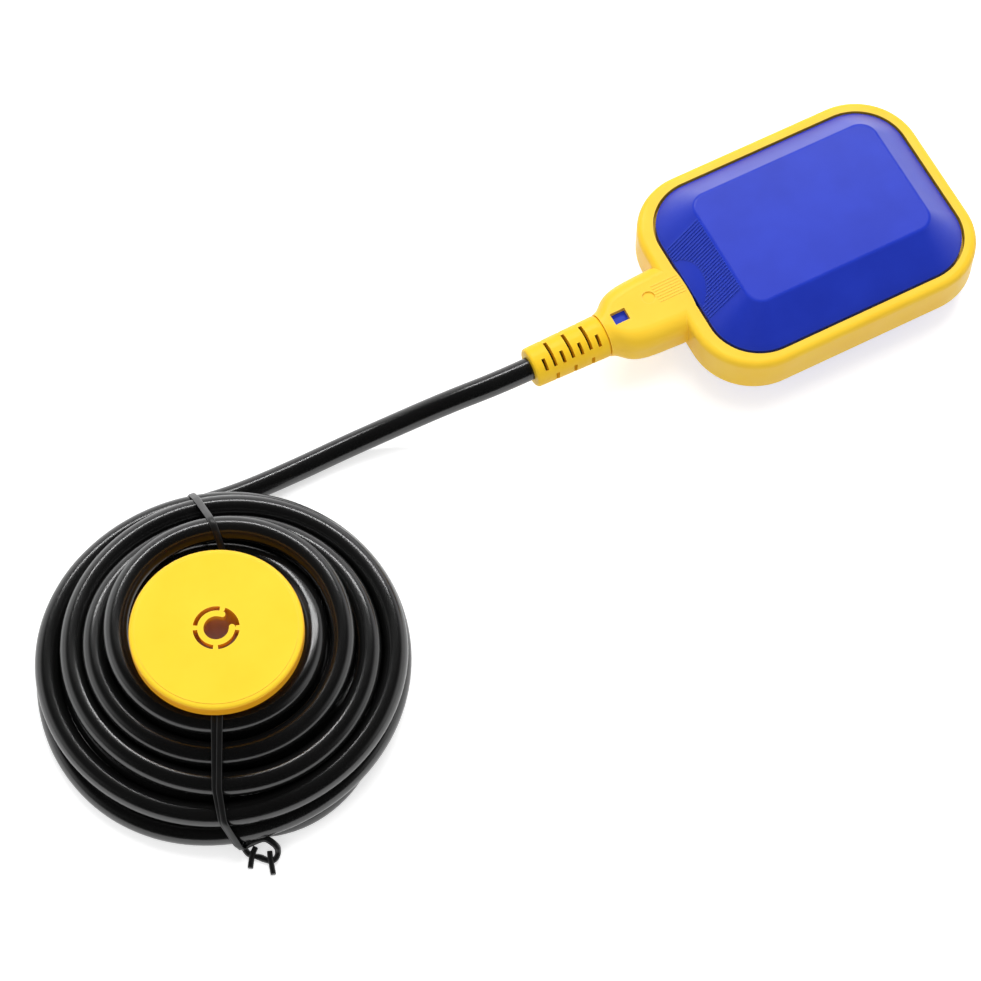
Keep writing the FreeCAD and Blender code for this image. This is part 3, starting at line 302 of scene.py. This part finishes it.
def add_band(mesh, line, ends, width, lift=0.0, lean=0.0):
    """A band drawn tight round the coil's section in an upright plane."""
    heading = (ends[1] - ends[0]).normalized()
    origin = ends[0] - heading * BAND_START
    across = Vector((-heading.y, heading.x, 0))
    outline = hull_round(section_turns(line, origin, heading), TIE_GAP + TIE_THICKNESS / 2 + lift)
    middle = Vector((sum(out for out, _ in outline), sum(height for _, height in outline))) / len(outline)
    path = []
    normals = []
    for i, (out, height) in enumerate(outline):
        after, before = Vector(outline[(i + 1) % len(outline)]), Vector(outline[i - 1])
        along = after - before
        normal = Vector((along.y, -along.x))
        if normal.dot(Vector((out, height)) - middle) < 0:
            normal = -normal
        outer = smooth_step((out - middle.x) / LEAN_RUN)
        shift = lean * outer * smooth_step((LEAN_TOP - height) / LEAN_DROP)
        path.append(origin + heading * out + across * shift + Vector((0, 0, height)))
        normals.append(heading * normal.x + Vector((0, 0, normal.y)))
    add_strip(mesh, path, normals, width)


def rounded(path, detail=5):
    """A smooth open line through points."""
    full = [Vector(p) for p in (path[0], *path, path[-1])]
    line = []
    for four in zip(full, full[1:], full[2:], full[3:]):
        line += [blend(*four, i / detail) for i in range(detail)]
    return line + [Vector(path[-1])]


def add_knot(mesh):
    """The near tie's twisted end: a loop that stands off the coil's foot, and two tails on the floor."""
    loop = rounded(KNOT_LOOP + KNOT_LOOP[:1])[:-1]
    middle = sum(loop, Vector()) / len(loop)
    add_strip(mesh, loop, [place - middle for place in loop], KNOT_WIDTH, KNOT_WIDTH)
    for tail in KNOT_TAILS:
        line = rounded(tail)
        add_strip(mesh, line, [Vector((0, 0, 1))] * len(line), KNOT_WIDTH, KNOT_WIDTH, closed=False)


def mesh_piece(name, mesh):
    """An object with smooth shading from a finished mesh."""
    data = bpy.data.meshes.new(name)
    bmesh.ops.recalc_face_normals(mesh, faces=mesh.faces)
    mesh.to_mesh(data)
    mesh.free()
    for face in data.polygons:
        face.use_smooth = True
    piece = bpy.data.objects.new(name, data)
    bpy.context.scene.collection.objects.link(piece)
    return piece


def near_tie(line):
    """Two bands, one on the other, that end in the knot."""
    mesh = bmesh.new()
    for i, ends in enumerate(NEAR_BANDS):
        add_band(mesh, line, ends, NEAR_TIE_WIDTH, lift=i * TIE_THICKNESS, lean=LEAN)
    add_knot(mesh)
    return mesh_piece("tie_near", mesh)


def far_tie(line):
    """One plain band."""
    mesh = bmesh.new()
    add_band(mesh, line, FAR_BAND, FAR_TIE_WIDTH)
    return mesh_piece("tie_far", mesh)


cable_line = centreline(cable)
tie_near = near_tie(cable_line)
tie_far = far_tie(cable_line)


# Materials

# The worn colour's share on an edge, which is rubbed wear and also a painted edge highlight, how near the
# edge it starts in metres, and the cosine between the surface's direction and its direction with the edge
# rounded off, at which that share is full
WORN_HIGHLIT_SHARE = 0.35
WORN_HIGHLIT_REACH = 0.0006
WORN_HIGHLIT_SHARPNESS = 0.93
# Upward part of a surface's direction where the painted wall shade starts and where it is full
WALL_SHADE_SLOPES = (0.85, 0.2)
GLOSS_FINENESS = 2.5
GRAIN_STRENGTH = 0.35
METAL_FLOW = 400.0
METAL_MARKS = 3000.0
METAL_MARK_STRENGTH = 0.2
MARK_DEPTH = 0.00002


def new_material(name):
    material = bpy.data.materials.new(name)
    material.use_nodes = True
    tree = material.node_tree
    return material, tree, tree.nodes["Principled BSDF"]


def link(tree, source, target):
    tree.links.new(source, target)


def noise(tree, scale, detail=3.0):
    """A noise in the object's own space."""
    place = tree.nodes.new("ShaderNodeTexCoord")
    texture = tree.nodes.new("ShaderNodeTexNoise")
    texture.inputs["Scale"].default_value = scale
    texture.inputs["Detail"].default_value = detail
    link(tree, place.outputs["Object"], texture.inputs["Vector"])
    return texture.outputs["Fac"]


def ramp(tree, source, low, high, start=0.3, end=0.7):
    """Turn a share from 0 to 1 into a colour or grey between two values."""
    node = tree.nodes.new("ShaderNodeValToRGB")
    node.color_ramp.elements[0].position = start
    node.color_ramp.elements[1].position = end
    node.color_ramp.elements[0].color = (*low, 1)
    node.color_ramp.elements[1].color = (*high, 1)
    link(tree, source, node.inputs["Fac"])
    return node.outputs["Color"]


def grey(value):
    return (value, value, value)


def map_range(tree, source, start, end, low=0.0, high=1.0, smooth=False):
    """Spread a value's way from start to end over the way from low to high."""
    node = tree.nodes.new("ShaderNodeMapRange")
    if smooth:
        node.interpolation_type = "SMOOTHSTEP"
    for socket, value in (("From Min", start), ("From Max", end), ("To Min", low), ("To Max", high)):
        node.inputs[socket].default_value = value
    link(tree, source, node.inputs["Value"])
    return node.outputs["Result"]


def mix_colour(tree, share, colour, other):
    """A colour that turns to another one as a share goes from 0 to 1."""
    mix = tree.nodes.new("ShaderNodeMix")
    mix.data_type = "RGBA"
    link(tree, share, mix.inputs["Factor"])
    link(tree, colour, mix.inputs["A"])
    mix.inputs["B"].default_value = (*other, 1)
    return mix.outputs["Result"]


def bump(tree, shader, height, strength, distance):
    node = tree.nodes.new("ShaderNodeBump")
    node.inputs["Strength"].default_value = strength
    node.inputs["Distance"].default_value = distance
    link(tree, height, node.inputs["Height"])
    link(tree, node.outputs["Normal"], shader.inputs["Normal"])


def worn_highlit_edges(tree, colour, worn_highlit):
    """Lighten a colour a little along edges, where handling rubs it; the lighter edge is also a painted edge
    highlight.
    """
    geometry = tree.nodes.new("ShaderNodeNewGeometry")
    bevel = tree.nodes.new("ShaderNodeBevel")
    bevel.samples = 4
    bevel.inputs["Radius"].default_value = WORN_HIGHLIT_REACH
    product = tree.nodes.new("ShaderNodeVectorMath")
    product.operation = "DOT_PRODUCT"
    link(tree, geometry.outputs["Normal"], product.inputs[0])
    link(tree, bevel.outputs["Normal"], product.inputs[1])
    share = map_range(tree, product.outputs["Value"], 1.0, WORN_HIGHLIT_SHARPNESS, 0.0, WORN_HIGHLIT_SHARE)
    return mix_colour(tree, share, colour, worn_highlit)


def painted_wall_shade(tree, colour, wall_shade_colour):
    """Painted shade: turn a colour to a deeper one on walls and undersides, standing in for shade and for the
    look of plastic that lets some light in.
    """
    geometry = tree.nodes.new("ShaderNodeNewGeometry")
    parts = tree.nodes.new("ShaderNodeSeparateXYZ")
    link(tree, geometry.outputs["Normal"], parts.inputs["Vector"])
    return mix_colour(tree, map_range(tree, parts.outputs["Z"], *WALL_SHADE_SLOPES), colour, wall_shade_colour)


def moulded(name, low, high, worn_highlit, rough, scale=60.0, grain=2600.0, grain_depth=MARK_DEPTH, shine=0.5,
            unevenness=0.06, wall_shade_colour=None):
    """Moulded plastic: a faint colour flow from low to high, uneven gloss, a fine grain, rubbed edges with a
    painted edge highlight, and painted shade on walls when a wall colour is given.
    """
    material, tree, shader = new_material(name)
    flow = ramp(tree, noise(tree, scale), low, high)
    # Rubbed edges, whose lighter colour is also a painted edge highlight
    colour = worn_highlit_edges(tree, flow, worn_highlit)
    # Painted shade on walls and undersides, when a wall colour is given
    if wall_shade_colour:
        colour = painted_wall_shade(tree, colour, wall_shade_colour)
    link(tree, colour, shader.inputs["Base Color"])
    uneven = noise(tree, scale * GLOSS_FINENESS, 5.0)
    gloss = ramp(tree, uneven, grey(rough - unevenness), grey(rough + unevenness))
    link(tree, gloss, shader.inputs["Roughness"])
    shader.inputs["Specular IOR Level"].default_value = shine
    bump(tree, shader, noise(tree, grain, 2.0), GRAIN_STRENGTH, grain_depth)
    return material


def metal(name, low, high, rough):
    """Bare or plated metal with fine marks."""
    material, tree, shader = new_material(name)
    link(tree, ramp(tree, noise(tree, METAL_FLOW), low, high), shader.inputs["Base Color"])
    shader.inputs["Metallic"].default_value = 1.0
    marks = noise(tree, METAL_MARKS, 4.0)
    link(tree, ramp(tree, marks, grey(rough - 0.06), grey(rough + 0.1)), shader.inputs["Roughness"])
    bump(tree, shader, marks, METAL_MARK_STRENGTH, MARK_DEPTH)
    return material


def paint(material, *names):
    """Give CAD nodes or pieces, by name, a finish."""
    for name in names:
        data = bpy.data.objects[name].data
        data.materials.clear()
        data.materials.append(material)


# Each plastic's low, high and worn colours and its roughness; the worn colour is rubbed wear and also a
# painted edge highlight
blue = moulded("blue_plastic", (0.012, 0.034, 0.46), (0.015, 0.041, 0.52), (0.07, 0.13, 0.66), 0.32,
               grain=500.0, grain_depth=0.000002, shine=0.24, unevenness=0.015)
yellow = moulded("yellow_plastic", (0.95, 0.58, 0.026), (0.96, 0.62, 0.036), (0.98, 0.74, 0.15), 0.4,
                 shine=0.28)
boot_yellow = moulded("boot_yellow", (0.94, 0.57, 0.012), (0.95, 0.61, 0.018), (0.97, 0.70, 0.07), 0.45,
                      shine=0.28)
# The weight's last colour is painted shade on its walls and undersides
weight_yellow = moulded("weight_yellow", (0.98, 0.635, 0.022), (0.98, 0.675, 0.030), (0.99, 0.78, 0.12), 0.4,
                        shine=0.25, wall_shade_colour=(0.93, 0.42, 0.010))
cable_black = moulded("cable_black", grey(0.004), grey(0.006), grey(0.02), 0.22,
                      scale=30.0, grain=900.0, grain_depth=0.000003, shine=0.7, unevenness=0.015)
tie_black = moulded("tie_black", grey(0.006), grey(0.009), grey(0.03), 0.36)
inner_grey = moulded("inner_grey", (0.45, 0.46, 0.46), grey(0.50), grey(0.60), 0.5)
inner_black = moulded("inner_black", grey(0.02), grey(0.03), grey(0.09), 0.45)
inner_red = moulded("inner_red", (0.40, 0.03, 0.02), (0.46, 0.04, 0.03), (0.6, 0.12, 0.09), 0.42)
inner_white = moulded("inner_white", (0.75, 0.73, 0.68), (0.80, 0.78, 0.73), (0.88, 0.87, 0.84), 0.35)
resin = moulded("resin", (0.16, 0.10, 0.05), (0.22, 0.14, 0.07), (0.3, 0.2, 0.1), 0.25)
seal = moulded("seal_rubber", grey(0.03), grey(0.05), grey(0.1), 0.6)
core_brown = moulded("core_brown", (0.10, 0.035, 0.012), (0.13, 0.045, 0.015), (0.2, 0.09, 0.04), 0.35)
core_blue = moulded("core_blue", (0.02, 0.06, 0.35), (0.03, 0.08, 0.42), (0.08, 0.16, 0.5), 0.35)
# Each metal's low and high colours and its roughness
steel = metal("steel", (0.55, 0.55, 0.56), (0.62, 0.62, 0.63), 0.22)
brass = metal("brass", (0.70, 0.50, 0.20), (0.78, 0.57, 0.26), 0.28)
iron = metal("iron", (0.10, 0.095, 0.09), (0.16, 0.15, 0.14), 0.6)

paint(blue, "upper_shell", "lower_shell")
paint(yellow, "outer_frame")
paint(boot_yellow, "cable_boot")
paint(weight_yellow, "weight_lid", "weight_cup")
paint(cable_black, "cable", "cable_head")
paint(tie_black, "tie_near", "tie_far")
paint(inner_grey, "switch_carrier", "track_cover", "cord_clamp")
paint(inner_black, "microswitch_case", "wire_black", "tail_black")
paint(inner_red, "microswitch_cover")
paint(inner_white, "switch_plunger")
paint(resin, "sealing_resin")
paint(seal, "cable_seal")
paint(core_brown, "wire_brown", "tail_brown")
paint(core_blue, "wire_blue", "tail_blue")
paint(steel, "steel_ball", "switch_lever", "lever_pin", "carrier_screws", "clamp_screws", "switch_screws")
paint(brass, "terminal_common", "terminal_open", "terminal_closed")
paint(iron, "weight_ballast")

for piece, material_slot in ((cable, "cable_black"), (tie_near, "tie_black"), (tie_far, "tie_black")):
    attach(piece, BODY)
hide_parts("cable_lead", "cable_coil")
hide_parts("coil_tie_near")
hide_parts("coil_tie_far")


# Stage, in metres

FLOOR_SIZE = 8
FLOOR_LEVEL = -0.0002
FLOOR_COLOUR = 0.85
FLOOR_GLOW = 0.55
EVEN_LIGHT = 0.45
# What mirrored rays meet: the walls' light, the ceiling's light, the heights between which the one
# turns into the other, and how far a direction points to the far side where the walls are still dark
# and where they are fully lit
WALL_LIGHT = 1.25
CEILING_LIGHT = 0.01
WALL_TOP = (0.3, 0.7)
DARK_SIDE = (-0.6, 0.1)


def make_floor():
    """A white floor that still takes the object's shadow."""
    bpy.ops.mesh.primitive_plane_add(size=FLOOR_SIZE, location=(TARGET.x, TARGET.y, FLOOR_LEVEL))
    floor = bpy.context.object
    floor.name = "floor"
    material, tree, shader = new_material("floor_white")
    shader.inputs["Base Color"].default_value = (*grey(FLOOR_COLOUR), 1)
    shader.inputs["Roughness"].default_value = 0.9
    shader.inputs["Specular IOR Level"].default_value = 0.0
    glow = tree.nodes.new("ShaderNodeEmission")
    glow.inputs["Color"].default_value = (1, 1, 1, 1)
    path = tree.nodes.new("ShaderNodeLightPath")
    seen = tree.nodes.new("ShaderNodeMath")
    seen.operation = "MAXIMUM"
    link(tree, path.outputs["Is Camera Ray"], seen.inputs[0])
    link(tree, path.outputs["Is Glossy Ray"], seen.inputs[1])
    link(tree, map_range(tree, seen.outputs["Value"], 0, 1, 0, FLOOR_GLOW), glow.inputs["Strength"])
    both = tree.nodes.new("ShaderNodeAddShader")
    link(tree, shader.outputs["BSDF"], both.inputs[0])
    link(tree, glow.outputs["Emission"], both.inputs[1])
    link(tree, both.outputs["Shader"], tree.nodes["Material Output"].inputs["Surface"])
    floor.data.materials.append(material)


def mirrored_light(tree):
    """The strength that mirrored rays meet in the studio, by their direction."""
    place = tree.nodes.new("ShaderNodeTexCoord")
    parts = tree.nodes.new("ShaderNodeSeparateXYZ")
    link(tree, place.outputs["Generated"], parts.inputs["Vector"])
    wall = map_range(tree, parts.outputs["Z"], *WALL_TOP, WALL_LIGHT, CEILING_LIGHT, smooth=True)
    facing = tree.nodes.new("ShaderNodeVectorMath")
    facing.operation = "DOT_PRODUCT"
    facing.inputs[1].default_value = AWAY
    link(tree, place.outputs["Generated"], facing.inputs[0])
    side = map_range(tree, facing.outputs["Value"], *DARK_SIDE, smooth=True)
    lit = tree.nodes.new("ShaderNodeMath")
    lit.operation = "MULTIPLY"
    link(tree, wall, lit.inputs[0])
    link(tree, side, lit.inputs[1])
    return lit.outputs["Value"]


def make_world():
    """A white studio: even light, and for mirrored rays bright far walls under a dark ceiling."""
    world = bpy.data.worlds.new("studio")
    world.use_nodes = True
    bpy.context.scene.world = world
    tree = world.node_tree
    background = tree.nodes["Background"]
    background.inputs["Color"].default_value = (1, 1, 1, 1)
    path = tree.nodes.new("ShaderNodeLightPath")
    plain = map_range(tree, path.outputs["Is Camera Ray"], 0, 1, EVEN_LIGHT, 1.0)
    choice = tree.nodes.new("ShaderNodeMix")
    link(tree, path.outputs["Is Glossy Ray"], choice.inputs["Factor"])
    link(tree, plain, choice.inputs["A"])
    link(tree, mirrored_light(tree), choice.inputs["B"])
    link(tree, choice.outputs["Result"], background.inputs["Strength"])


def softbox(name, place, size, power, mirrored=True):
    """A lamp that looks at the object, in metres and watts; one that isn't mirrored makes no highlight."""
    light = bpy.data.lights.new(name, "AREA")
    light.shape = "RECTANGLE"
    light.size, light.size_y = size
    light.energy = power
    lamp = bpy.data.objects.new(name, light)
    lamp.location = place
    lamp.rotation_euler = (TARGET - Vector(place)).to_track_quat("-Z", "Y").to_euler()
    lamp.visible_glossy = mirrored
    bpy.context.scene.collection.objects.link(lamp)


def around(heading_degrees, distance, height):
    """A place round the object, its heading counted from the camera's right."""
    heading = LOOK_HEADING - math.pi / 2 + math.radians(heading_degrees)
    return tuple(TARGET + polar(heading) * distance + Vector((0, 0, height)))


make_floor()
make_world()
softbox("key_top", around(60, 0.35, 1.5), size=(0.7, 0.7), power=8.6, mirrored=False)
softbox("fill_front", around(250, 0.9, 1.0), size=(1.0, 0.6), power=2.4, mirrored=False)
softbox("strip_back", around(95, 0.95, 1.10), size=(1.3, 0.09), power=10)
bpy.context.scene.view_settings.view_transform = "Standard"
